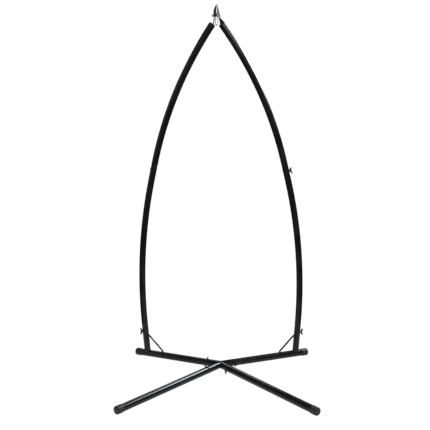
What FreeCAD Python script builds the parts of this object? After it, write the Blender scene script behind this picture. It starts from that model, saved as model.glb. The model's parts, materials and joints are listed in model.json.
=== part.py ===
import FreeCAD, Part
import math
import os

# Hammock-chair stand: four legs in a flat X, two arched arms that rise from the rear legs and meet
# over the middle of the X, and a snap hook that hangs from a bolt between them.
#
# Millimetres and degrees. +Z is up, +X is to the right of someone who stands in front of the stand,
# and the front is towards -Y. The origin is on the floor at the centre of the footprint.

V = FreeCAD.Vector
UP = V(0, 0, 1)

# Tubes
leg_od = 48.0
leg_wall = 1.5
arm_od = 45.0
arm_wall = 1.5
fit_gap = 0.3               # all round, between a narrowed tube end and the tube it enters
swage_length = 10.0         # cone between the full tube and its narrowed end
seam_gap = 2.0              # narrowed end left bare between the two tubes of a joint

# Base, in plan
rear_heading = 23.0         # between a rear leg and the side-to-side axis
front_heading = 52.0        # between a front leg and the side-to-side axis
rear_reach = 680.0          # from the middle of the X to the outer face of the end cap
front_reach = 970.0
socket_length = 140.0
leg_insert = 80.0           # how far a leg goes into its socket
socket_screw_back = 30.0    # from the socket's mouth to its wing screw

# End caps, which are the feet
cap_radius = 26.0
cap_length = 46.0
cap_end_wall = 6.0
cap_edge_round = 10.0
cap_lip_round = 1.5
cap_flat_depth = 0.5        # flat moulded on the underside

# Posts, braces and arms, measured along the centre line of the upright from the rear leg's axis
post_foot = 584.0           # from the middle of the X to the foot of the post
post_lean = 5.0             # outwards, from the vertical
post_length = 200.0
arm_insert = 90.0
arm_screw_back = 40.0       # from a joint's seam to its wing screw
lower_straight = 15.0
lower_bend_length = 1065.0
lower_bend_radius = 3180.0
joint_top = 1380.0          # seam between the lower and the upper arm
joint_straight = 100.0      # straight stretch below that seam
upper_straight = 15.0
upper_bend_length = 1005.0
upper_bend_radius = 2450.0
arm_end = 2425.0
brace_radius = 6.0
brace_bend_radius = 15.0
brace_top = V(4.0, 0, 147.0)        # the brace's corners, from the post's foot on the leg's axis
brace_upper_bend = V(-23.0, 0, 128.0)
brace_lower_bend = V(-124.0, 0, 33.0)
brace_foot = V(-128.0, 0, 18.0)

# Wing screws (M8) and their weld nuts
stud_radius = 4.0
nut_bore_gap = 0.05
nut_flats = 13.0
nut_height = 6.0
nut_foot_depth = 1.5        # how far the nut's hollowed foot reaches past the tube's crown
stud_hole_radius = 4.5
stud_chamfer = 0.8
tip_gap = 0.3               # between the stud's tip and the inner tube
seat_gap = 0.05             # all round, between the stud and its seat in the wing head
seat_end_gap = 0.3
head_standoff = 0.8         # between the weld nut and the wing head
hub_radius = 8.5
hub_top_radius = 7.2
hub_height = 12.0
hub_foot_chamfer = 0.8
hub_crown_round = 1.5
hub_over_stud = 4.0         # plastic left over the stud's end
wing_half_span = 22.6
wing_side = [               # one wing, seen from the side: distance from the stud's axis, height
    (5.5, 1.0),
    (11.5, 1.6),
    (17.5, 4.4),
    (21.8, 9.4),
    (wing_half_span, 14.0),
    (20.2, 17.4),
    (15.6, 16.6),
    (11.0, 13.4),
    (6.5, 10.6),
]
wing_thickness = 8.8
wing_edge_round = 1.8

# Top of the arms and the hanger. Heights are above the floor; front to back is from the middle of the X.
plug_dome = 10.0
plug_edge_round = 5.0
plug_spigot = 16.0
bolt_height = 2384.0
bolt_setback = 2.0
bolt_radius = 4.0           # M8
bolt_hole_radius = 4.3
bolt_head_radius = 8.0
bolt_head_height = 4.4
bolt_head_round = 3.4
bolt_tail = 4.0             # thread that shows past the lock nut
bush_radius = 6.5
bush_bore_radius = 4.1
washer_radius = 8.0
washer_thickness = 1.6
lock_nut_flats = 13.0
lock_nut_height = 8.0
cheek_inner = 15.0
cheek_thickness = 5.0
cheek_splay = 9.5           # how far a cheek's foot steps outwards to reach the arm
cheek_knee_height = 2358.0
cheek_foot_height = 2310.0
cheek_back = 20.0
cheek_back_top = 2404.0
cheek_foot_front = -12.0
cheek_throat_height = 2352.0
web_thickness = 4.0
web_bottom = 2372.0
web_outer_front = -30.0
web_middle_front = -34.0
gap_top = 0.25              # half the gap between the two halves of the bracket
gap_bottom = 3.0
gable_left_foot = V(-22.5, 0, 2386.0)
gable_left_side = V(-16.5, 0, 2421.0)
gable_tip_left = V(0.5, 0, 2450.0)
gable_tip_right = V(3.5, 0, 2450.0)
gable_right_side = V(13.0, 0, 2421.0)
gable_right_foot = V(20.5, 0, 2386.0)
gusset_thickness = 5.0
gusset_middle = 11.0
gusset_top = 2375.0
gusset_bottom = 2332.0
gusset_reach = 46.0
gusset_reach_top = 2346.0

# Snap hook, 8 mm wire, 80 mm long
wire_radius = 4.0
eye_radius = 13.0           # centre line of the narrow end
bowl_radius = 16.0          # centre line of the wide end
hook_length = 80.0
hook_turn = 30.0            # hook's plane, turned about the vertical from square to the bolt
hook_gap = 0.6              # between the eye and the bush
gate_shoulder = 4.0         # straight wire left below the eye on the gate's side
nose_length = 3.0           # straight wire left above the bowl on the gate's side
gate_end_gap = 0.7
gate_pin_radius = 1.25
gate_pin_gap = 0.05
tongue_thickness = 3.0
tongue_gap = 0.35
tongue_overlap = 1.0        # a tongue starts this far inside the wire
knuckle_radius = 3.0
nose_reach = 4.0
nose_width = 4.0
hinge_slot_below = 5.0
hinge_slot_above = 4.0
nose_slot_depth = 4.6
gate_spring_wire = 0.4
gate_spring_radius = 2.2
gate_spring_pitch = 1.7
gate_spring_turns = 5
gate_bore_radius = 2.8
gate_bore_margin = 0.6

# Worked out from the sizes above
leg_radius = leg_od / 2
arm_radius = arm_od / 2
leg_axis_height = cap_radius - cap_flat_depth
socket_bore = leg_radius - leg_wall
leg_neck_radius = socket_bore - fit_gap
arm_bore = arm_radius - arm_wall
arm_neck_radius = arm_bore - fit_gap
half_turn = 180.0
head_base = nut_height + head_standoff
stud_top = head_base + hub_height - hub_over_stud
cheek_outer = cheek_inner + cheek_thickness

headings = {
    "rear_right": rear_heading,
    "rear_left": half_turn - rear_heading,
    "front_left": half_turn + front_heading,
    "front_right": -front_heading,
}
uprights = {"right": headings["rear_right"], "left": headings["rear_left"]}

# Each wing head stops at its own angle when it is tight: turn about its stud from "wings along the tube"
wing_turns = {
    "rear_right": 35.0,
    "rear_left": 60.0,
    "front_left": 80.0,
    "front_right": -60.0,
    "post_right": 0.0,
    "post_left": 10.0,
    "arm_right": 10.0,
    "arm_left": -48.0,
}
socket_screw_side = -90.0   # to the right of the outward heading
post_screw_side = 0.0       # on the outer side
arm_screw_side = -50.0      # outer side, turned towards the front on the right arm


def cap_reach_y(reach, heading):
    """How far an end cap reaches from the middle of the X, front to back."""
    angle = math.radians(heading)
    along = (reach - cap_edge_round) * math.sin(angle)
    across = (cap_radius - cap_edge_round) * math.cos(angle)
    return along + across + cap_edge_round


hub_y = (cap_reach_y(front_reach, front_heading) - cap_reach_y(rear_reach, rear_heading)) / 2
hub = V(0, hub_y, leg_axis_height)

upright_runs = [
    (post_length + lower_straight, None),
    (lower_bend_length, lower_bend_radius),
    (joint_straight + upper_straight, None),
    (upper_bend_length, upper_bend_radius),
    (arm_end, None),
]

nodes = {}


# ---- helpers -------------------------------------------------------------------------------------

def revolved(outline):
    """Solid of revolution about Z from (radius, height) points."""
    points = [V(radius, 0, height) for radius, height in outline]
    face = Part.Face(Part.makePolygon(points + points[:1]))
    return face.revolve(V(0, 0, 0), UP, 360)


def prism(flats, height):
    """Hexagonal prism on Z, by its size across flats."""
    corner = flats / 2 / math.cos(math.radians(30))
    ring = [V(corner, 0, 0)]
    for index in range(1, 6):
        angle = math.radians(60 * index)
        ring.append(V(corner * math.cos(angle), corner * math.sin(angle), 0))
    return Part.Face(Part.makePolygon(ring + ring[:1])).extrude(UP * height)


def placed(shape, origin, z_axis, x_axis):
    """Copy of a shape whose own Z and X are laid along two directions, at an origin."""
    turn = FreeCAD.Rotation(x_axis, V(0, 0, 0), z_axis, "ZXY")
    copy = shape.copy()
    copy.Placement = FreeCAD.Placement(origin, turn).multiply(copy.Placement)
    return copy


def headed(shape, heading):
    """A shape drawn with +X outwards from the middle of the X, turned to its heading."""
    return placed(shape, hub, UP, heading_direction(heading))


def heading_direction(heading):
    angle = math.radians(heading)
    return V(math.cos(angle), math.sin(angle), 0)


def along_x(shape, distance=0.0):
    """A shape drawn along Z, laid along X from a distance."""
    return placed(shape, V(distance, 0, 0), V(1, 0, 0), UP)


def round_bar(path, radius):
    """Round bar along a path of tangent edges."""
    wire = Part.Wire(path)
    start = path[0].firstVertex().Point
    direction = path[0].tangentAt(path[0].FirstParameter)
    profile = Part.Wire(Part.Circle(start, direction, radius).toShape())
    return wire.makePipeShell([profile], True, False)


def bent_path(points, radius):
    """Straight runs between points, with an arc of one radius at each inner point."""
    edges = []
    start = points[0]
    for before, corner, after in zip(points, points[1:], points[2:]):
        back = (before - corner).normalize()
        on = (after - corner).normalize()
        half = back.getAngle(on) / 2
        middle = (back + on).normalize()
        centre = corner + middle * (radius / math.sin(half))
        setback = radius / math.tan(half)
        first = corner + back * setback
        last = corner + on * setback
        edges.append(Part.LineSegment(start, first).toShape())
        edges.append(Part.Arc(first, centre - middle * radius, last).toShape())
        start = last
    edges.append(Part.LineSegment(start, points[-1]).toShape())
    return edges


# ---- the upright's centre line ---------------------------------------------------------------------

def station(distance):
    """Point and lean (radians, outwards) of the upright's centre line, in the plane of its leg."""
    x = post_foot
    z = 0.0
    lean = math.radians(post_lean)
    left = distance
    for length, radius in upright_runs:
        step = min(left, length)
        turn = step / radius if radius else 0.0
        chord = 2 * radius * math.sin(turn / 2) if radius else step
        x += chord * math.sin(lean - turn / 2)
        z += chord * math.cos(lean - turn / 2)
        lean -= turn
        left -= step
    return V(x, 0, z), lean


def lean_direction(lean):
    return V(math.sin(lean), 0, math.cos(lean))


def outward(lean):
    """Square to the centre line, away from the middle of the X."""
    return V(math.cos(lean), 0, -math.sin(lean))


def on_upright(shape, distance):
    """A shape drawn along Z, laid along the upright's centre line from a distance."""
    point, lean = station(distance)
    return placed(shape, point, lean_direction(lean), outward(lean))


def upright_run(start, end, outer, inner):
    """Tube of one size between two distances along the upright's centre line; inner 0 is solid."""
    pieces = []
    run_start = 0.0
    for length, radius in upright_runs:
        first = max(start, run_start)
        last = min(end, run_start + length)
        if last > first:
            pieces.append(upright_piece(first, last - first, radius, outer, inner))
        run_start += length
    whole = pieces[0]
    for piece in pieces[1:]:
        whole = whole.fuse(piece)
    return whole.removeSplitter()


def upright_piece(first, length, radius, outer, inner):
    point, lean = station(first)
    direction = lean_direction(lean)
    ring = Part.Face(Part.Wire(Part.Circle(point, direction, outer).toShape()))
    if inner:
        ring = ring.cut(Part.Face(Part.Wire(Part.Circle(point, direction, inner).toShape()))).Faces[0]
    if radius is None:
        return ring.extrude(direction * length)
    centre = point - outward(lean) * radius
    return ring.revolve(centre, V(0, -1, 0), math.degrees(length / radius))


# ---- base ------------------------------------------------------------------------------------------

def wedge(start, end):
    """Tall wedge about Z between two headings less than a half turn apart."""
    size = 3 * socket_length
    low = V(0, 0, -leg_od)
    corners = [low, low + heading_direction(start) * size, low + heading_direction(end) * size]
    return Part.Face(Part.makePolygon(corners + corners[:1])).extrude(UP * 2 * leg_od)


def socket(heading, wedge_start, wedge_end):
    """One arm of the welded connector: a short tube, mitred to its neighbours."""
    tube = Part.makeCylinder(leg_radius, socket_length, V(0, 0, 0), heading_direction(heading))
    bore = Part.makeCylinder(socket_bore, socket_length, V(0, 0, 0), heading_direction(heading))
    mitred = tube.cut(bore).common(wedge(wedge_start, wedge_end))
    mitred.translate(hub)
    return mitred


def drilled(shape, screw, bore_radius):
    """A tube with the hole that a wing screw passes through."""
    origin, z_axis, x_axis = screw
    hole = Part.makeCylinder(bore_radius, leg_od, V(0, 0, -leg_radius / 2), UP)
    return shape.cut(placed(hole, origin, z_axis, x_axis))


def leg(reach):
    """Leg tube along +X with its inner end narrowed to enter the socket."""
    start = socket_length - leg_insert
    neck_end = socket_length + seam_gap
    full = neck_end + swage_length
    end = reach - cap_end_wall
    neck = leg_neck_radius
    outer = [(neck, start), (neck, neck_end), (leg_radius, full), (leg_radius, end)]
    inner = [(radius - leg_wall, height) for radius, height in reversed(outer)]
    return along_x(revolved(outer + inner))


def end_cap(reach):
    """Moulded cap over a leg's outer end, with rounded edges."""
    back = reach - cap_length
    body = Part.makeCylinder(cap_radius, cap_length, V(back, 0, 0), V(1, 0, 0))
    outer_rim = max([edge for edge in body.Edges if edge.Closed], key=lambda edge: edge.BoundBox.XMax)
    body = body.makeFillet(cap_edge_round, [outer_rim])
    inner_rim = min([edge for edge in body.Edges if edge.Closed], key=lambda edge: edge.BoundBox.XMax)
    body = body.makeFillet(cap_lip_round, [inner_rim])
    hollow = Part.makeCylinder(leg_radius, cap_length - cap_end_wall, V(back, 0, 0), V(1, 0, 0))
    ground = Part.makeBox(cap_length, leg_od, leg_radius, V(back, -leg_radius, -leg_axis_height - leg_radius))
    return body.cut(hollow).cut(ground)


def make_base():
    order = ["front_right", "rear_right", "rear_left", "front_left"]
    angles = [headings[name] for name in order]
    middles = [(first + second) / 2 for first, second in zip(angles, angles[1:])]
    closing = (angles[-1] + angles[0] + 360) / 2
    starts = [closing - 360] + middles
    ends = middles + [closing]
    for name, start, end in zip(order, starts, ends):
        heading = headings[name]
        reach = rear_reach if "rear" in name else front_reach
        screw = socket_screw(heading)
        nodes["socket_" + name] = drilled(socket(heading, start, end), screw, stud_hole_radius)
        nodes["leg_" + name] = headed(leg(reach), heading)
        nodes["end_cap_" + name] = headed(end_cap(reach), heading)


# ---- posts, braces and arms --------------------------------------------------------------------------

def post():
    """Short tube welded on the rear leg, coped round it, open at the top for the arm."""
    tube = upright_run(0, post_length, arm_radius, arm_bore)
    leg_envelope = Part.makeCylinder(leg_radius, rear_reach, V(0, 0, 0), V(1, 0, 0))
    below = Part.makeBox(arm_od * 2, arm_od * 2, leg_od, V(post_foot - arm_od, -arm_od, -leg_od))
    return tube.cut(leg_envelope).cut(below)


def brace():
    """Round bar with bent ends from the post's inner side down to the leg."""
    corners = (brace_top, brace_upper_bend, brace_lower_bend, brace_foot)
    points = [V(post_foot, 0, 0) + corner for corner in corners]
    bar = round_bar(bent_path(points, brace_bend_radius), brace_radius)
    leg_envelope = Part.makeCylinder(leg_radius, rear_reach, V(0, 0, 0), V(1, 0, 0))
    post_envelope = upright_run(0, post_length, arm_radius, 0)
    return bar.cut(leg_envelope).cut(post_envelope)


def arm(seam, end):
    """Curved arm tube whose lower end is narrowed to enter the tube below it."""
    neck = arm_neck_radius
    neck_run = arm_insert + seam_gap
    full = neck_run + swage_length
    outer = [(neck, 0), (neck, neck_run), (arm_radius, full)]
    inner = [(radius - arm_wall, height) for radius, height in reversed(outer)]
    swage = on_upright(revolved(outer + inner), seam - arm_insert)
    run = upright_run(seam + seam_gap + swage_length, end, arm_radius, arm_bore)
    return swage.fuse(run).removeSplitter()


def arm_plug():
    """Domed plug that closes the top end of an upper arm."""
    dome = Part.makeCylinder(arm_radius, plug_dome, V(0, 0, 0), UP)
    rims = [edge for edge in dome.Edges if edge.Closed]
    dome = dome.makeFillet(plug_edge_round, [max(rims, key=lambda edge: edge.BoundBox.ZMax)])
    spigot = Part.makeCylinder(arm_bore, plug_spigot, V(0, 0, -plug_spigot), UP)
    return on_upright(dome.fuse(spigot).removeSplitter(), arm_end)


def make_uprights():
    post_shape = post()
    brace_shape = brace()
    lower = arm(post_length, joint_top)
    upper = arm(joint_top, arm_end)
    plug = arm_plug()
    for side, heading in uprights.items():
        post_hole = upright_screw(heading, post_length - arm_screw_back, post_screw_side)
        arm_hole = upright_screw(heading, joint_top - arm_screw_back, arm_screw_side)
        nodes["post_" + side] = drilled(headed(post_shape, heading), post_hole, stud_hole_radius)
        nodes["brace_" + side] = headed(brace_shape, heading)
        nodes["lower_arm_" + side] = drilled(headed(lower, heading), arm_hole, stud_hole_radius)
        nodes["upper_arm_" + side] = headed(upper, heading)
        nodes["arm_plug_" + side] = headed(plug, heading)


# ---- wing screws ---------------------------------------------------------------------------------------
# A screw is placed by the point on the outer face of its tube, the way out along the stud, and the
# direction along the tube.

def socket_screw(heading):
    along = heading_direction(heading)
    out = heading_direction(heading + socket_screw_side)
    origin = hub + along * (socket_length - socket_screw_back) + out * leg_radius
    return origin, out, along


def upright_screw(heading, distance, side):
    point, lean = station(distance)
    turn = FreeCAD.Rotation(UP, heading)
    along = turn.multVec(lean_direction(lean))
    out = FreeCAD.Rotation(along, side).multVec(turn.multVec(outward(lean)))
    return hub + turn.multVec(point) + out * arm_radius, out, along


def weld_nut(tube_radius):
    """Weld nut on Z whose foot is hollowed to sit on its tube, which runs along X."""
    nut = prism(nut_flats, nut_height + nut_foot_depth)
    nut.translate(V(0, 0, -nut_foot_depth))
    bore_radius = stud_radius + nut_bore_gap
    bore = Part.makeCylinder(bore_radius, leg_od, V(0, 0, -leg_radius), UP)
    tube = Part.makeCylinder(tube_radius, leg_od, V(-leg_radius, 0, -tube_radius), V(1, 0, 0))
    return nut.cut(bore).cut(tube)


def stud(wall_depth):
    """Threaded stud on Z, from just clear of the inner tube to inside the wing head."""
    tip = tip_gap - wall_depth
    outline = [
        (0, tip),
        (stud_radius - stud_chamfer, tip),
        (stud_radius, tip + stud_chamfer),
        (stud_radius, stud_top),
        (0, stud_top),
    ]
    return revolved(outline)


def wing_outline():
    """Closed side view of both wings in XZ: low in the middle, swept up and out to round tips."""
    other = [(-x, height) for x, height in reversed(wing_side)]
    points = [V(x, 0, head_base + height) for x, height in wing_side + other]
    outline = Part.BSplineCurve()
    outline.interpolate(Points=points, PeriodicFlag=True)
    return Part.Wire(outline.toShape())


def wing_head():
    """Moulded butterfly head on Z, with the stud's seat left open."""
    wings = Part.Face(wing_outline()).extrude(V(0, wing_thickness, 0))
    wings.translate(V(0, -wing_thickness / 2, 0))
    edges = [edge for edge in wings.Edges if edge.BoundBox.YLength < 0.01]
    wings = wings.makeFillet(wing_edge_round, edges)
    base = head_base
    top = base + hub_height
    seat = Part.makeCylinder(stud_radius + seat_gap, stud_top + seat_end_gap, V(0, 0, 0), UP)
    hub_outline = [
        (0, base),
        (hub_radius - hub_foot_chamfer, base),
        (hub_radius, base + hub_foot_chamfer),
        (hub_top_radius, top - hub_crown_round),
        (hub_top_radius - hub_crown_round, top),
        (0, top),
    ]
    return wings.fuse(revolved(hub_outline)).cut(seat)


def add_screw(name, screw, wall_depth):
    origin, out, along = screw
    across = out.cross(along)
    angle = math.radians(wing_turns[name])
    span = along * math.cos(angle) + across * math.sin(angle)
    nodes["stud_" + name] = placed(stud(wall_depth), origin, out, along)
    nodes["wing_" + name] = placed(wing_head(), origin, out, span)


def make_screws():
    leg_depth = leg_radius - leg_neck_radius
    arm_depth = arm_radius - arm_neck_radius
    groups = {"socket_weld_nuts": [], "post_weld_nuts": [], "arm_weld_nuts": []}
    for name, heading in headings.items():
        screw = socket_screw(heading)
        groups["socket_weld_nuts"].append(placed(weld_nut(leg_radius), *screw))
        add_screw(name, screw, leg_depth)
    for side, heading in uprights.items():
        screw = upright_screw(heading, post_length - arm_screw_back, post_screw_side)
        groups["post_weld_nuts"].append(placed(weld_nut(arm_radius), *screw))
        add_screw("post_" + side, screw, arm_depth)
        screw = upright_screw(heading, joint_top - arm_screw_back, arm_screw_side)
        groups["arm_weld_nuts"].append(placed(weld_nut(arm_radius), *screw))
        add_screw("arm_" + side, screw, arm_depth)
    for name, nuts in groups.items():
        nodes[name] = Part.makeCompound(nuts)


# ---- hanger ----------------------------------------------------------------------------------------------
# Drawn over the middle of the X, then moved back to the hub's place.

bolt_centre = V(0, hub_y + bolt_setback, bolt_height)
total_height = gable_tip_left.z


def slab(corners):
    """Upright slab over the bracket's full depth from a face in XZ."""
    depth = 4 * cheek_outer
    solid = Part.Face(Part.makePolygon(corners + corners[:1])).extrude(V(0, depth, 0))
    solid.translate(V(0, -depth / 2, 0))
    return solid


def gable():
    """Pointed front outline of the bracket, with straight sides below its feet."""
    floor_z = V(0, 0, cheek_foot_height)
    low_left = V(-2 * cheek_outer, 0, 0) + floor_z
    low_right = V(2 * cheek_outer, 0, 0) + floor_z
    step_left = V(low_left.x, 0, gable_left_foot.z)
    step_right = V(low_right.x, 0, gable_right_foot.z)
    edges = [
        Part.Arc(gable_left_foot, gable_left_side, gable_tip_left).toShape(),
        Part.LineSegment(gable_tip_left, gable_tip_right).toShape(),
        Part.Arc(gable_tip_right, gable_right_side, gable_right_foot).toShape(),
        Part.LineSegment(gable_right_foot, step_right).toShape(),
        Part.LineSegment(step_right, low_right).toShape(),
        Part.LineSegment(low_right, low_left).toShape(),
        Part.LineSegment(low_left, step_left).toShape(),
        Part.LineSegment(step_left, gable_left_foot).toShape(),
    ]
    depth = 4 * cheek_outer
    solid = Part.Face(Part.Wire(edges)).extrude(V(0, depth, 0))
    solid.translate(V(0, -depth / 2, 0))
    return solid


def cheek_plate():
    """Right cheek: upright plate whose foot steps out to the arm's end, deeper where it meets the web."""
    front_view = slab([
        V(cheek_inner + cheek_splay, 0, cheek_foot_height),
        V(cheek_inner, 0, cheek_knee_height),
        V(cheek_inner, 0, total_height),
        V(cheek_outer, 0, total_height),
        V(cheek_outer, 0, cheek_knee_height),
        V(cheek_outer + cheek_splay, 0, cheek_foot_height),
    ])
    corners = [
        V(0, web_outer_front, total_height),
        V(0, web_outer_front + web_thickness, total_height),
        V(0, cheek_back, cheek_back_top),
        V(0, cheek_back, cheek_foot_height),
        V(0, cheek_foot_front, cheek_foot_height),
        V(0, cheek_foot_front, cheek_throat_height),
        V(0, web_outer_front, web_bottom),
    ]
    side_view = Part.Face(Part.makePolygon(corners + corners[:1])).extrude(V(2 * cheek_outer, 0, 0))
    return front_view.common(side_view)


def web_plate():
    """Right half of the web in front of the hook, slanted forward to the middle, with a tapered gap."""
    corners = [
        V(0, web_middle_front, web_bottom),
        V(cheek_outer, web_outer_front, web_bottom),
        V(cheek_outer, web_outer_front + web_thickness, web_bottom),
        V(0, web_middle_front + web_thickness, web_bottom),
    ]
    plate = Part.Face(Part.makePolygon(corners + corners[:1])).extrude(UP * (total_height - web_bottom))
    gap = slab([
        V(-cheek_outer, 0, web_bottom),
        V(gap_bottom, 0, web_bottom),
        V(gap_top, 0, total_height),
        V(-cheek_outer, 0, total_height),
    ])
    return plate.cut(gap)


def gusset():
    """Flat gusset from the right cheek to the top of its arm."""
    corners = [
        V(cheek_inner + cheek_thickness / 2, 0, gusset_top),
        V(gusset_reach, 0, gusset_reach_top),
        V(gusset_reach, 0, gusset_bottom),
        V(cheek_inner + cheek_thickness / 2, 0, gusset_bottom),
    ]
    plate = Part.Face(Part.makePolygon(corners + corners[:1])).extrude(V(0, gusset_thickness, 0))
    plate.translate(V(0, gusset_middle - gusset_thickness / 2, 0))
    inside = slab([
        V(0, 0, cheek_foot_height),
        V(cheek_inner + cheek_splay, 0, cheek_foot_height),
        V(cheek_inner, 0, cheek_knee_height),
        V(cheek_inner, 0, total_height),
        V(0, 0, total_height),
    ])
    return plate.cut(inside)


def make_bracket():
    arm_envelope = upright_run(joint_top, arm_end, arm_radius, 0).fuse(arm_plug())
    right = cheek_plate().fuse(web_plate())
    left = right.mirror(V(0, 0, 0), V(1, 0, 0))
    right = right.common(gable()).fuse(gusset())
    left = left.common(gable())
    hole_start = V(-2 * cheek_outer, bolt_setback, bolt_height)
    hole = Part.makeCylinder(bolt_hole_radius, 4 * cheek_outer, hole_start, V(1, 0, 0))
    for side, half in (("right", right), ("left", left)):
        half = half.cut(hole).removeSplitter()
        half.translate(V(0, hub_y, 0))
        nodes["hanger_bracket_" + side] = half.cut(headed(arm_envelope, uprights[side]))


def cup_head():
    """Low bolt head on Z with a well rounded rim."""
    head = Part.makeCylinder(bolt_head_radius, bolt_head_height, V(0, 0, 0), UP)
    rims = [edge for edge in head.Edges if edge.Closed]
    return head.makeFillet(bolt_head_round, [max(rims, key=lambda edge: edge.BoundBox.ZMax)])


def make_bolt():
    """Bolt with its domed head on the right, bush, washers and lock nut, all on X."""
    head_face = cheek_outer + washer_thickness
    tail = head_face + lock_nut_height + bolt_tail
    shank = Part.makeCylinder(bolt_radius, head_face + tail, V(-tail, 0, 0), V(1, 0, 0))
    bush = Part.makeCylinder(bush_radius, 2 * cheek_inner, V(-cheek_inner, 0, 0), V(1, 0, 0))
    bush_bore = Part.makeCylinder(bush_bore_radius, 2 * cheek_inner, V(-cheek_inner, 0, 0), V(1, 0, 0))
    lock_nut = along_x(prism(lock_nut_flats, lock_nut_height), -head_face - lock_nut_height)
    nut_bore = Part.makeCylinder(bolt_radius, tail, V(-tail, 0, 0), V(1, 0, 0))
    washers = []
    for start in (cheek_outer, -head_face):
        washer = Part.makeCylinder(washer_radius, washer_thickness, V(start, 0, 0), V(1, 0, 0))
        bore = Part.makeCylinder(bolt_hole_radius, washer_thickness, V(start, 0, 0), V(1, 0, 0))
        washers.append(washer.cut(bore))
    pieces = {
        "hanger_bolt": shank.fuse(along_x(cup_head(), head_face)).removeSplitter(),
        "hanger_bush": bush.cut(bush_bore),
        "hanger_lock_nut": lock_nut.cut(nut_bore),
        "hanger_washers": Part.makeCompound(washers),
    }
    for name, piece in pieces.items():
        piece.translate(bolt_centre)
        nodes[name] = piece


# ---- snap hook ---------------------------------------------------------------------------------------------
# Drawn in XZ about the bolt's centre, with the gate on +X. The eye is at the top and the bowl below it.

eye_drop = eye_radius - wire_radius - bush_radius - hook_gap
eye_centre = V(0, 0, -eye_drop)
centre_distance = hook_length - 2 * wire_radius - eye_radius - bowl_radius
bowl_centre = eye_centre - UP * centre_distance
side_tilt = math.asin((bowl_radius - eye_radius) / centre_distance)


def side_normal(sign):
    """Square to a straight side of the hook: +1 is the gate's side, -1 the spine."""
    return V(sign * math.cos(side_tilt), 0, math.sin(side_tilt))


gate_down = V(math.sin(side_tilt), 0, -math.cos(side_tilt))
gate_top = eye_centre + side_normal(1) * eye_radius + gate_down * gate_shoulder
gate_bottom = bowl_centre + side_normal(1) * bowl_radius - gate_down * nose_length
gate_pin_centre = gate_top + gate_down * (wire_radius + tongue_gap)
gate_free_end = (gate_bottom - gate_pin_centre).Length - gate_end_gap


def hook_wire():
    eye_gate = eye_centre + side_normal(1) * eye_radius
    eye_spine = eye_centre + side_normal(-1) * eye_radius
    bowl_spine = bowl_centre + side_normal(-1) * bowl_radius
    bowl_gate = bowl_centre + side_normal(1) * bowl_radius
    path = [
        Part.LineSegment(gate_top, eye_gate).toShape(),
        Part.Arc(eye_gate, eye_centre + UP * eye_radius, eye_spine).toShape(),
        Part.LineSegment(eye_spine, bowl_spine).toShape(),
        Part.Arc(bowl_spine, bowl_centre - UP * bowl_radius, bowl_gate).toShape(),
        Part.LineSegment(bowl_gate, gate_bottom).toShape(),
    ]
    return round_bar(path, wire_radius)


def tongue(origin, length, width):
    """Flat tongue along the gate's line from a point, in the hook's plane."""
    plate = Part.makeBox(width, tongue_thickness, length, V(-width / 2, -tongue_thickness / 2, 0))
    return placed(plate, origin, gate_down, V(0, 1, 0).cross(gate_down))


def hook_body():
    """Bent wire with a flat tongue at the gate's hinge and a short one at the nose."""
    hinge_length = tongue_overlap + wire_radius + tongue_gap
    hinge_tongue = tongue(gate_top - gate_down * tongue_overlap, hinge_length, 2 * knuckle_radius)
    knuckle = Part.makeCylinder(knuckle_radius, tongue_thickness, gate_pin_centre, V(0, 1, 0))
    knuckle.translate(V(0, -tongue_thickness / 2, 0))
    nose = tongue(gate_bottom - gate_down * nose_reach, nose_reach + tongue_overlap, nose_width)
    pin_hole = Part.makeCylinder(gate_pin_radius, leg_od, gate_pin_centre - V(0, leg_radius, 0), V(0, 1, 0))
    return hook_wire().fuse([hinge_tongue, knuckle, nose]).cut(pin_hole)


def gate_slot(start, end):
    """Slot across the gate between two distances from its pin, wide enough for a tongue."""
    width = tongue_thickness + 2 * tongue_gap
    return Part.makeBox(4 * wire_radius, width, end - start, V(-2 * wire_radius, -width / 2, start))


def gate():
    """Straight gate, forked over the hinge tongue and slotted for the nose."""
    bar = Part.makeCylinder(wire_radius, gate_free_end, V(0, 0, 0), UP)
    root = Part.makeCylinder(wire_radius, 2 * wire_radius, V(0, -wire_radius, 0), V(0, 1, 0))
    root = root.common(Part.makeCylinder(wire_radius, 3 * wire_radius, V(0, 0, -2 * wire_radius), UP))
    hinge_slot = gate_slot(-hinge_slot_below, hinge_slot_above)
    nose_slot = gate_slot(gate_free_end - nose_slot_depth, gate_free_end + nose_slot_depth)
    bore_length = spring_length() + gate_bore_margin
    spring_bore = Part.makeCylinder(gate_bore_radius, bore_length, V(0, 0, hinge_slot_above), UP)
    pin_hole = Part.makeCylinder(gate_pin_radius + gate_pin_gap, leg_od, V(0, -leg_radius, 0), V(0, 1, 0))
    bar = bar.fuse(root).cut(hinge_slot).cut(nose_slot).cut(spring_bore).cut(pin_hole)
    return placed(bar, gate_pin_centre, gate_down, V(0, 1, 0).cross(gate_down))


def spring_length():
    return gate_spring_pitch * gate_spring_turns + 2 * gate_spring_wire


def gate_spring():
    """Small coil spring in the gate's bore that presses it shut."""
    helix = Part.makeHelix(gate_spring_pitch, gate_spring_pitch * gate_spring_turns, gate_spring_radius)
    profile = Part.Wire(Part.Circle(V(gate_spring_radius, 0, 0), V(0, 1, 0), gate_spring_wire).toShape())
    coil = Part.Wire(helix.Edges).makePipeShell([profile], True, True)
    coil.translate(V(0, 0, hinge_slot_above + gate_spring_wire + gate_bore_margin / 2))
    return placed(coil, gate_pin_centre, gate_down, V(0, 1, 0).cross(gate_down))


def gate_pin():
    length = 2 * wire_radius
    return Part.makeCylinder(gate_pin_radius, length, gate_pin_centre - V(0, length / 2, 0), V(0, 1, 0))


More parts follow.
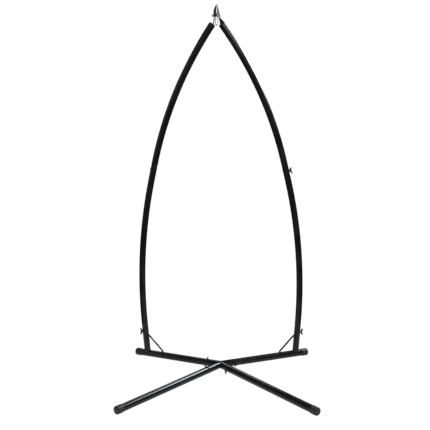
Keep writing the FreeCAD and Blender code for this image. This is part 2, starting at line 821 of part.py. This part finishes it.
def make_hook():
    """The hook hangs square to the bolt, but for a part turn about the vertical."""
    facing = heading_direction(-90.0 + hook_turn)
    pieces = {
        "snap_hook_body": hook_body(),
        "snap_hook_gate": gate(),
        "snap_hook_gate_spring": gate_spring(),
        "snap_hook_gate_pin": gate_pin(),
    }
    for name, piece in pieces.items():
        nodes[name] = placed(piece, bolt_centre, UP, facing)


# ---- whole ------------------------------------------------------------------------------------

make_base()
make_uprights()
make_screws()
make_bracket()
make_bolt()
make_hook()

os.makedirs("parts", exist_ok=True)
for node, shape in nodes.items():
    shape.exportStep("parts/" + node + ".step")

print("nodes", len(nodes))
print("middle of the X at y", round(hub_y, 3), "leg axis at z", leg_axis_height)
print("bolt centre", bolt_centre)
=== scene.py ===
import json
import math

import bpy
from mathutils import Matrix, Vector, noise


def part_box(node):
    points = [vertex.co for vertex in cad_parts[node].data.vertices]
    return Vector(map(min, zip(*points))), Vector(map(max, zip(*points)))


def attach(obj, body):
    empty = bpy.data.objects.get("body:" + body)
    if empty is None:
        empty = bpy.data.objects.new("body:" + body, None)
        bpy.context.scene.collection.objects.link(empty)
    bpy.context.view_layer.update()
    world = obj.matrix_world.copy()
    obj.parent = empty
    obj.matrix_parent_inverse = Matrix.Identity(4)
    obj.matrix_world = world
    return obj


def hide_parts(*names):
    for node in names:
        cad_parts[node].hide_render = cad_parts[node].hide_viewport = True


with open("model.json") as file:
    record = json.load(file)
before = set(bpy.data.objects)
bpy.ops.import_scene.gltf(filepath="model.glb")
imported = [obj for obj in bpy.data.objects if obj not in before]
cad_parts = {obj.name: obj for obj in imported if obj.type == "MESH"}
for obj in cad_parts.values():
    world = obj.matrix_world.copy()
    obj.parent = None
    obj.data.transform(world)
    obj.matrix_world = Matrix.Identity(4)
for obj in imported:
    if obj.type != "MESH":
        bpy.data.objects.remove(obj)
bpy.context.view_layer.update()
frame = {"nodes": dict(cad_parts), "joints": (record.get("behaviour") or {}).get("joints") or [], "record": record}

# Everything is in metres, in the stand's own frame: X is across, +Y is the back and Z is up.

NODES = frame["nodes"]
JOINTS = {joint["name"]: joint for joint in frame["joints"]}
UP = Vector((0, 0, 1))
MM = 0.001

LEGS = ["rear_right", "rear_left", "front_left", "front_right"]
SIDES = ["right", "left"]
SCREWS = LEGS + ["post_right", "post_left", "arm_right", "arm_left"]

# Sizes of the stand that the added pieces are fitted to
LEG_RADIUS = 24 * MM
ARM_RADIUS = 22.5 * MM
SOCKET_SCREW_AT = 110 * MM
POST_FOOT = 584 * MM
POST_LEAN = math.radians(5.0)
BRACE_RADIUS = 6 * MM
BRACE_TOP = ((-23 * MM, 128 * MM), (4 * MM, 147 * MM))      # two points of the brace's axis: out, up
BRACE_FOOT = ((-124 * MM, 33 * MM), (-128 * MM, 18 * MM))
NUT_FOOT_RADIUS = 7.4 * MM
THREAD_RADIUS = 4 * MM
THREAD_PITCH = 1.25 * MM
WIRE_RADIUS = 4 * MM

# Weld beads
POST_BEAD = 2.2 * MM
CONNECTOR_BEAD = 2.0 * MM
BRACE_BEAD = 1.4 * MM
NUT_BEAD = 1.1 * MM
RIPPLE = 2.2 * MM
NUT_RIPPLE = 1.8 * MM
RINGS_PER_RIPPLE = 5
BEAD_SIDES = 8

# Threads
THREAD_DEPTH = 0.6 * MM
THREAD_SIDES = 28
ROWS_PER_PITCH = 10
BOLT_THREAD_PROUD = 0.12 * MM       # outside the plain bolt that it covers
BOLT_THREAD_PAST_END = 0.4 * MM
BOLT_THREAD_LENGTHENED = 2 * MM     # so that it ends inside the nut

# Turned pieces: (radius, distance along the axis)
NUT_RING = [(6.3 * MM, 0.0), (6.2 * MM, -0.9 * MM), (5.4 * MM, -1.6 * MM), (4.3 * MM, -1.7 * MM)]
NUT_RING_SIDES = 32
RIVET = [(2.3 * MM, 0.02 * MM), (2.2 * MM, 0.4 * MM), (1.6 * MM, 0.75 * MM), (0.6 * MM, 0.9 * MM)]
RIVET_SIDES = 24

# Stage and camera
FLOOR_HALF = 30.0
TABLE_RADIUS = 1.15
TABLE_GLOW = 0.55
TABLE_CORNERS = 72
WORLD_STRENGTH = 1.02
WHITE = (1.0, 1.0, 1.0)
COOL = (0.93, 0.97, 1.0)
SKY = (0.84, 0.91, 1.0)
IMAGE_SIDE = 430.0
FOCAL_LENGTH = 700.0                # in the same unit as IMAGE_SIDE
SENSOR_WIDTH = 36.0
CAMERA_FROM_HUB = (0.160, -4.664, 1.774)
CAMERA_HEADING = math.radians(-2.28)
CAMERA_DOWN = math.radians(8.77)
CAMERA_ROLL = math.radians(-0.63)


def joint_line(name):
    """A joint's point and direction."""
    joint = JOINTS[name]
    return Vector(joint["pos_m"]), Vector(joint["axis"]).normalized()


def leg_direction(leg):
    """Outward heading of a leg: a quarter turn from its wing screw."""
    return UP.cross(joint_line(leg + "_turn")[1]).normalized()


def find_hub():
    """Middle of the X, on the legs' axes."""
    point, out = joint_line("rear_right_turn")
    return point - out * LEG_RADIUS - leg_direction("rear_right") * SOCKET_SCREW_AT


HUB = find_hub()


# ---- materials -------------------------------------------------------------------------------------

class Shader:
    """A Principled material that is put together node by node."""

    def __init__(self, name, color, roughness, metallic=0.0):
        self.material = bpy.data.materials.new(name)
        self.material.use_nodes = True
        self.nodes = self.material.node_tree.nodes
        self.links = self.material.node_tree.links
        self.principled = self.nodes["Principled BSDF"]
        self.set("Base Color", (*color, 1.0))
        self.set("Roughness", roughness)
        self.set("Metallic", metallic)
        self.coordinates = self.nodes.new("ShaderNodeTexCoord").outputs["Object"]
        self.height = None

    def set(self, socket, value):
        self.principled.inputs[socket].default_value = value

    def link(self, output, node_input):
        self.links.new(output, node_input)

    def noise(self, scale, detail=3.0, roughness=0.5):
        texture = self.nodes.new("ShaderNodeTexNoise")
        texture.inputs["Scale"].default_value = scale
        texture.inputs["Detail"].default_value = detail
        texture.inputs["Roughness"].default_value = roughness
        self.link(self.coordinates, texture.inputs["Vector"])
        return texture.outputs["Fac"]

    def remap(self, value, low, high, out_low, out_high):
        node = self.nodes.new("ShaderNodeMapRange")
        node.interpolation_type = "SMOOTHSTEP"
        node.inputs["From Min"].default_value = low
        node.inputs["From Max"].default_value = high
        node.inputs["To Min"].default_value = out_low
        node.inputs["To Max"].default_value = out_high
        self.link(value, node.inputs["Value"])
        return node.outputs["Result"]

    def calculate(self, operation, first, second):
        node = self.nodes.new("ShaderNodeMath")
        node.operation = operation
        for socket, value in zip(node.inputs, (first, second)):
            if isinstance(value, (int, float)):
                socket.default_value = value
            else:
                self.link(value, socket)
        return node.outputs[0]

    def mixed(self, factor, first, second):
        """Colour that goes from first to second as the factor rises."""
        node = self.nodes.new("ShaderNodeMix")
        node.data_type = "RGBA"
        self.link(factor, node.inputs[0])
        for socket, value in ((node.inputs[6], first), (node.inputs[7], second)):
            if isinstance(value, tuple):
                socket.default_value = (*value, 1.0)
            else:
                self.link(value, socket)
        return node.outputs[2]

    def color(self, output):
        self.link(output, self.principled.inputs["Base Color"])

    def roughness(self, output):
        self.link(output, self.principled.inputs["Roughness"])

    def edge_wear(self, radius, low, high):
        """1 where the surface turns sharply outwards, from the bevelled normal."""
        bevel = self.nodes.new("ShaderNodeBevel")
        bevel.samples = 4
        bevel.inputs["Radius"].default_value = radius
        geometry = self.nodes.new("ShaderNodeNewGeometry")
        product = self.nodes.new("ShaderNodeVectorMath")
        product.operation = "DOT_PRODUCT"
        self.link(bevel.outputs["Normal"], product.inputs[0])
        self.link(geometry.outputs["Normal"], product.inputs[1])
        return self.remap(product.outputs["Value"], high, low, 0.0, 1.0)

    def bump(self, height, distance, strength=1.0):
        node = self.nodes.new("ShaderNodeBump")
        node.inputs["Distance"].default_value = distance
        node.inputs["Strength"].default_value = strength
        self.link(height, node.inputs["Height"])
        if self.height is not None:
            self.link(self.height, node.inputs["Normal"])
        self.height = node.outputs["Normal"]
        self.link(self.height, self.principled.inputs["Normal"])


def powder_coat():
    """Black semi-gloss powder coat: fine orange peel, cloudy gloss, a little dust and rubbed edges."""
    shader = Shader("powder_coat", (0.007, 0.007, 0.008), 0.2)
    shader.set("Specular IOR Level", 0.38)
    cloud = shader.noise(9.0, 4.0)
    fine = shader.noise(260.0, 2.0)
    streak = shader.noise(30.0, 5.0, 0.6)
    clouded = shader.remap(cloud, 0.35, 0.7, 0.0, 1.0)
    tint = shader.mixed(clouded, (0.005, 0.005, 0.006), (0.009, 0.009, 0.010))
    dust = shader.remap(streak, 0.55, 0.8, 0.0, 0.3)
    tint = shader.mixed(dust, tint, (0.022, 0.022, 0.021))
    wear = shader.edge_wear(0.0012, 0.9, 0.985)
    rubbed = shader.calculate("MULTIPLY", wear, shader.remap(fine, 0.45, 0.6, 0.0, 0.5))
    shader.color(shader.mixed(rubbed, tint, (0.06, 0.06, 0.062)))
    paint_roughness = shader.remap(cloud, 0.3, 0.75, 0.17, 0.25)
    dust_roughness = shader.calculate("MULTIPLY", dust, 0.25)
    shader.roughness(shader.calculate("ADD", paint_roughness, dust_roughness))
    peel = shader.noise(420.0, 2.0, 0.4)
    shader.bump(peel, 0.00012, 0.55)
    shader.bump(shader.noise(90.0, 2.0), 0.0002, 0.25)
    return shader.material


def cap_plastic():
    """Moulded polyethylene: soft sheen, fine grain, scuffs on the edges that meet the floor."""
    shader = Shader("cap_plastic", (0.013, 0.013, 0.014), 0.5)
    cloud = shader.noise(25.0, 4.0)
    grain = shader.noise(900.0, 2.0)
    scuff = shader.noise(140.0, 5.0, 0.7)
    tint = shader.mixed(shader.remap(cloud, 0.3, 0.7, 0.0, 1.0), (0.011, 0.011, 0.012), (0.017, 0.017, 0.019))
    wear = shader.edge_wear(0.004, 0.8, 0.99)
    marks = shader.calculate("MULTIPLY", wear, shader.remap(scuff, 0.5, 0.62, 0.0, 0.6))
    shader.color(shader.mixed(marks, tint, (0.075, 0.074, 0.073)))
    shader.roughness(shader.remap(scuff, 0.3, 0.7, 0.42, 0.58))
    shader.bump(grain, 0.00008, 0.6)
    shader.bump(scuff, 0.0002, 0.2)
    return shader.material


def knob_plastic():
    """Glass-filled black nylon: even spark-eroded grain with a faint mottled sheen."""
    shader = Shader("knob_plastic", (0.015, 0.015, 0.016), 0.42)
    mottle = shader.noise(120.0, 4.0)
    grain = shader.noise(1500.0, 2.0)
    tint = shader.mixed(shader.remap(mottle, 0.35, 0.7, 0.0, 1.0), (0.012, 0.012, 0.013), (0.02, 0.02, 0.021))
    wear = shader.edge_wear(0.0012, 0.85, 0.99)
    shader.color(shader.mixed(shader.calculate("MULTIPLY", wear, 0.35), tint, (0.06, 0.06, 0.06)))
    shader.roughness(shader.remap(mottle, 0.3, 0.7, 0.34, 0.48))
    shader.bump(grain, 0.00005, 0.7)
    return shader.material


def plated_steel(name, bright, dull, roughness, spread, metallic=1.0):
    """Zinc-plated or galvanised steel: soft blotches of tarnish and fine drawing marks."""
    shader = Shader(name, bright, roughness, metallic)
    blotch = shader.noise(160.0, 4.0, 0.6)
    fine = shader.noise(1400.0, 3.0)
    shader.color(shader.mixed(shader.remap(blotch, 0.4, 0.75, 0.0, 1.0), bright, dull))
    varied = shader.remap(blotch, 0.3, 0.7, roughness - spread, roughness + spread)
    shader.roughness(shader.calculate("ADD", varied, shader.remap(fine, 0.4, 0.7, 0.0, spread)))
    shader.bump(fine, 0.00003, 0.5)
    shader.bump(blotch, 0.0001, 0.15)
    return shader.material


MATERIALS = {
    "powder_coat": powder_coat(),
    "cap_plastic": cap_plastic(),
    "knob_plastic": knob_plastic(),
    "zinc_steel": plated_steel("zinc_steel", (0.62, 0.63, 0.64), (0.42, 0.42, 0.41), 0.32, 0.06, 0.6),
    "hook_steel": plated_steel("hook_steel", (0.84, 0.85, 0.86), (0.62, 0.63, 0.64), 0.3, 0.06, 0.35),
    "spring_steel": plated_steel("spring_steel", (0.45, 0.44, 0.42), (0.3, 0.29, 0.28), 0.3, 0.06),
}


def dress(obj, slot):
    """Gives an object the one material of a record slot."""
    obj.data.materials.clear()
    obj.data.materials.append(MATERIALS[slot])


def dress_frame():
    for part in frame["record"]["subparts"]:
        dress(NODES[part["node"]], part["material_slot"])


# ---- shapes ------------------------------------------------------------------------------------------

def add_mesh(name, points, faces, slot, body):
    """Smooth mesh that takes its finish from a record slot and rides on a body."""
    mesh = bpy.data.meshes.new(name)
    mesh.from_pydata(points, [], faces)
    mesh.validate()
    for polygon in mesh.polygons:
        polygon.use_smooth = True
    obj = bpy.data.objects.new(name, mesh)
    bpy.context.scene.collection.objects.link(obj)
    dress(obj, slot)
    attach(obj, body)
    return obj


def frame_of(direction):
    """Two unit vectors square to a direction and to each other."""
    helper = Vector((1, 0, 0)) if abs(direction.x) < 0.8 else Vector((0, 1, 0))
    first = direction.cross(helper).normalized()
    return first, direction.cross(first).normalized()


def spokes(direction, count):
    """Unit vectors all round a direction, square to it."""
    one, other = frame_of(direction)
    angles = [2 * math.pi * step / count for step in range(count)]
    return [one * math.cos(angle) + other * math.sin(angle) for angle in angles]


def skin(rings, sides, closed=False):
    """Quads between rings of points. The last ring joins the first, or both ends get a flat face."""
    faces = []
    for ring in range(rings if closed else rings - 1):
        below = ring * sides
        above = (ring + 1) % rings * sides
        for side in range(sides):
            beside = (side + 1) % sides
            faces.append((below + side, below + beside, above + beside, above + side))
    if not closed:
        faces.append(tuple(reversed(range(sides))))
        faces.append(tuple(range((rings - 1) * sides, rings * sides)))
    return faces


def weld_bead(name, path, closed, radius, ripple=RIPPLE):
    """Rippled bead along a path, half sunk in the seam, like a row of overlapping coins."""
    starts = []
    total = 0.0
    count = len(path)
    for index in range(count if closed else count - 1):
        starts.append(total)
        total += (path[(index + 1) % count] - path[index]).length
    rings = max(12, int(total / (ripple / RINGS_PER_RIPPLE)))
    points = []
    for ring in range(rings):
        distance = total * ring / (rings if closed else rings - 1)
        index = max(place for place, start in enumerate(starts) if start <= distance + 1e-9)
        first, second = path[index], path[(index + 1) % count]
        centre = first.lerp(second, (distance - starts[index]) / (second - first).length)
        phase = (distance / ripple) % 1.0
        wobble = noise.noise(centre * 180.0)
        # Each ripple swells along its length, and a bead with two ends tapers to them.
        taper = 1.0 if closed else min(1.0, 4.0 * math.sin(math.pi * ring / (rings - 1)) + 0.05)
        size = radius * taper * (0.8 + 0.3 * phase ** 2 + 0.12 * wobble)
        tangent = (second - first).normalized()
        points += [centre + spoke * size for spoke in spokes(tangent, BEAD_SIDES)]
    add_mesh(name, points, skin(rings, BEAD_SIDES, closed), "powder_coat", "frame")


def meeting(bar_point, bar_way, bar_radius, tube_point, tube_way, tube_radius, samples):
    """Closed line where a bar that moves along its axis first meets a round tube."""
    way = bar_way.normalized()
    tube = tube_way.normalized()
    speed = way - tube * way.dot(tube)
    line = []
    for spoke in spokes(way, samples):
        start = bar_point + spoke * bar_radius
        across = (start - tube_point) - tube * (start - tube_point).dot(tube)
        # The distance travelled solves a * distance ** 2 + b * distance + c = 0.
        a = speed.dot(speed)
        b = 2 * across.dot(speed)
        c = across.dot(across) - tube_radius ** 2
        line.append(start + way * ((-b - math.sqrt(max(b * b - 4 * a * c, 0.0))) / (2 * a)))
    return line


def threaded_rod(name, start, way, length, body, radius=THREAD_RADIUS):
    """Metric thread as one helical skin, with chamfered ends."""
    rows = int(length / THREAD_PITCH * ROWS_PER_PITCH)
    round_way = spokes(way, THREAD_SIDES)
    points = []
    for row in range(rows + 1):
        height = length * row / rows
        from_end = min(height, length - height)
        chamfered = radius - max(0.0, THREAD_PITCH - from_end)
        for side, spoke in enumerate(round_way):
            phase = (height / THREAD_PITCH - side / THREAD_SIDES) % 1.0
            # 1 on the thread's flat crest, 0 in its root, with straight flanks between them
            crest = min(1.0, max(0.0, 1.25 - 2.5 * abs(phase - 0.5)))
            size = min(chamfered, radius - THREAD_DEPTH * (1.0 - crest))
            points.append(start + way * height + spoke * size)
    return add_mesh(name, points, skin(rows + 1, THREAD_SIDES), "zinc_steel", body)


def turned_piece(name, centre, way, outline, sides, slot, body):
    """Piece turned about an axis from (radius, distance) points, closed at both ends."""
    points = []
    for radius, distance in outline:
        points += [centre + way * distance + spoke * radius for spoke in spokes(way, sides)]
    add_mesh(name, points, skin(len(outline), sides), slot, body)


# ---- details -----------------------------------------------------------------------------------------

def upright_plane(side):
    """Heading of the rear leg under an upright, and the post's foot on the leg's axis."""
    heading = leg_direction("rear_" + side)
    return heading, HUB + heading * POST_FOOT


def in_plane(side, point):
    heading, foot = upright_plane(side)
    return foot + heading * point[0] + UP * point[1]


def add_frame_welds():
    for side in SIDES:
        heading, foot = upright_plane(side)
        post_way = heading * math.sin(POST_LEAN) + UP * math.cos(POST_LEAN)
        above = foot + post_way * 100 * MM
        seam = meeting(above, -post_way, ARM_RADIUS, foot, heading, LEG_RADIUS, 96)
        weld_bead("weld_post_" + side, seam, True, POST_BEAD)
        start, end = [in_plane(side, point) for point in BRACE_TOP]
        seam = meeting(start, end - start, BRACE_RADIUS, foot, post_way, ARM_RADIUS, 40)
        weld_bead("weld_brace_top_" + side, seam, True, BRACE_BEAD)
        start, end = [in_plane(side, point) for point in BRACE_FOOT]
        seam = meeting(start, end - start, BRACE_RADIUS, foot, heading, LEG_RADIUS, 40)
        weld_bead("weld_brace_foot_" + side, seam, True, BRACE_BEAD)


def add_connector_welds():
    """The four seams of the welded X, each in the upright plane half way between two legs."""
    ways = [leg_direction(leg) for leg in LEGS]
    for leg, way, following in zip(LEGS, ways, ways[1:] + ways[:1]):
        middle = (way + following).normalized()
        slant = way.cross(middle).length
        seam = []
        for degrees in range(-90, 91, 3):
            angle = math.radians(degrees)
            outwards = middle * (LEG_RADIUS * math.cos(angle) / slant)
            seam.append(HUB + outwards + UP * LEG_RADIUS * math.sin(angle))
        weld_bead("weld_connector_" + leg, seam, False, CONNECTOR_BEAD)


def tube_of(screw):
    """Point, direction and radius of the tube that a wing screw goes through."""
    point, out = joint_line(screw + "_turn")
    if screw in LEGS:
        return point - out * LEG_RADIUS, leg_direction(screw), LEG_RADIUS
    side = screw.split("_")[1]
    heading = leg_direction("rear_" + side)
    normal = heading.cross(UP)
    if screw.startswith("post"):
        along = normal.cross(out)
    else:
        along = (out - normal * out.dot(normal)).cross(normal)
    return point - out * ARM_RADIUS, along.normalized(), ARM_RADIUS


def add_nut_welds():
    for screw in SCREWS:
        point, out = joint_line(screw + "_turn")
        seam = meeting(point + out * 20 * MM, -out, NUT_FOOT_RADIUS, *tube_of(screw), 48)
        weld_bead("weld_nut_" + screw, seam, True, NUT_BEAD, NUT_RIPPLE)


def reach_along(name, point, way):
    """How far a CAD node's mesh reaches along a line, from a point on it: nearest and farthest."""
    obj = NODES[name]
    distances = [(obj.matrix_world @ vertex.co - point).dot(way) for vertex in obj.data.vertices]
    return min(distances), max(distances)


def add_studs():
    """Threaded studs in place of the plain ones; each moves in and out with its screw."""
    for screw in SCREWS:
        name = "stud_" + screw
        point, out = joint_line(screw + "_turn")
        start, end = reach_along(name, point, out)
        stud = threaded_rod("thread_" + screw, point + out * start, out, end - start, "screw_" + screw)
        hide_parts(name)


def add_hanger_details():
    """Thread on the hanger bolt's end, nylon ring of the lock nut, and riveted ends of the gate's pin."""
    bolt_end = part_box("hanger_bolt")[0][0]
    nut_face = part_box("hanger_lock_nut")[0][0]
    centre = joint_line("hook_swing")[0]
    across = Vector((1, 0, 0))
    start = Vector((bolt_end - BOLT_THREAD_PAST_END, centre.y, centre.z))
    length = nut_face - bolt_end + BOLT_THREAD_LENGTHENED
    threaded_rod("bolt_thread", start, across, length, "frame", THREAD_RADIUS + BOLT_THREAD_PROUD)
    ring = Vector((nut_face, centre.y, centre.z))
    turned_piece("lock_nut_ring", ring, across, NUT_RING, NUT_RING_SIDES, "knob_plastic", "frame")
    point, way = joint_line("gate_open")
    for name, facing in (("rivet_front", -way), ("rivet_back", way)):
        turned_piece(name, point + facing * WIRE_RADIUS, facing, RIVET, RIVET_SIDES, "hook_steel", "hook")


# ---- stage, light and camera --------------------------------------------------------------------------

def stage_material(name, strength):
    """Back-lit white sheet: it stays white under the object, as in a catalogue picture."""
    shader = Shader(name, (0.06, 0.06, 0.06), 0.9)
    shader.set("Specular IOR Level", 0.0)
    tone = shader.remap(shader.noise(0.8, 2.0), 0.3, 0.7, 0.0, 1.0)
    shader.color(shader.mixed(tone, (0.05, 0.05, 0.05), (0.06, 0.06, 0.06)))
    glow = shader.mixed(tone, (0.99, 0.99, 0.99), (1.0, 1.0, 1.0))
    shader.link(glow, shader.principled.inputs["Emission Color"])
    shader.set("Emission Strength", strength)
    return shader.material


def add_stage(name, points, material):
    mesh = bpy.data.meshes.new(name)
    mesh.from_pydata(points, [], [tuple(range(len(points)))])
    mesh.materials.append(material)
    floor = bpy.data.objects.new(name, mesh)
    bpy.context.scene.collection.objects.link(floor)
    return floor


def make_floor():
    """A wide floor, and a dimmer round sheet on it that is all the paint mirrors of it."""
    signs = ((-1, -1), (1, -1), (1, 1), (-1, 1))
    corners = [(x * FLOOR_HALF, y * FLOOR_HALF, -MM) for x, y in signs]
    add_stage("studio_floor", corners, stage_material("studio_floor", 1.0)).visible_glossy = False
    angles = [2 * math.pi * step / TABLE_CORNERS for step in range(TABLE_CORNERS)]
    rim = [(TABLE_RADIUS * math.cos(angle), TABLE_RADIUS * math.sin(angle), 0) for angle in angles]
    add_stage("studio_table", rim, stage_material("studio_table", TABLE_GLOW)).visible_camera = False


def make_world():
    """White all round for the background and the fill, but out of sight in the gloss of the paint."""
    world = bpy.data.worlds.new("studio")
    world.use_nodes = True
    background = world.node_tree.nodes["Background"]
    background.inputs["Color"].default_value = (1.0, 1.0, 1.0, 1.0)
    background.inputs["Strength"].default_value = WORLD_STRENGTH
    world.cycles_visibility.glossy = False
    bpy.context.scene.world = world


def softbox(name, location, target, size, radiance, color=WHITE):
    """Rectangular area light that shines from a place towards a target."""
    light = bpy.data.lights.new(name, "AREA")
    light.shape = "RECTANGLE"
    light.size, light.size_y = size
    light.energy = radiance * math.pi * size[0] * size[1]
    light.color = color
    lamp = bpy.data.objects.new(name, light)
    lamp.location = location
    lamp.rotation_mode = "QUATERNION"
    lamp.rotation_quaternion = (Vector(target) - Vector(location)).to_track_quat("-Z", "Y")
    bpy.context.scene.collection.objects.link(lamp)


def make_lights():
    softbox("softbox_right_back", (2.5, 1.9, 3.0), (-0.2, -0.1, 0.0), (2.2, 0.8), 21.0, COOL)
    softbox("softbox_sky_right", (2.74, 1.57, 3.85), (0.1, 0.25, 2.3), (2.8, 0.7), 10.0, SKY)
    softbox("softbox_back", (-0.9, 3.9, 2.8), (0.2, 0.0, 0.0), (2.0, 0.8), 4.0)
    softbox("softbox_web", (1.49, -3.72, 2.95), (0.0, 0.21, 2.42), (0.5, 0.5), 16.0)
    softbox("strip_front_right", (2.39, -3.03, 2.42), (0.1, 0.25, 2.3), (0.3, 0.5), 45.0)
    softbox("fill_front", (-1.6, -4.0, 2.4), (0.0, 0.2, 1.0), (3.0, 2.2), 0.5)
    softbox("fill_left", (-3.6, -1.0, 2.0), (0.0, 0.2, 1.0), (1.6, 2.2), 0.8)
    softbox("softbox_top", (0.0, 0.2, 5.0), (0.0, 0.2, 0.0), (2.0, 2.0), 1.0)


def make_camera():
    """The camera stands in front, a little to the right, and looks slightly down."""
    data = bpy.data.cameras.new("camera")
    data.sensor_width = SENSOR_WIDTH
    data.lens = FOCAL_LENGTH / IMAGE_SIDE * SENSOR_WIDTH
    camera = bpy.data.objects.new("camera", data)
    ahead = Vector((math.sin(CAMERA_HEADING), math.cos(CAMERA_HEADING), 0))
    forward = ahead * math.cos(CAMERA_DOWN) - UP * math.sin(CAMERA_DOWN)
    level = ahead.cross(UP)
    right = level * math.cos(CAMERA_ROLL) + level.cross(forward) * math.sin(CAMERA_ROLL)
    place = Matrix((right, right.cross(forward), -forward)).transposed().to_4x4()
    place.translation = HUB + Vector(CAMERA_FROM_HUB)
    camera.matrix_world = place
    bpy.context.scene.collection.objects.link(camera)
    bpy.context.scene.camera = camera


bpy.context.scene.view_settings.view_transform = "Standard"
dress_frame()
add_frame_welds()
add_connector_welds()
add_nut_welds()
add_studs()
add_hanger_details()
make_floor()
make_world()
make_lights()
make_camera()
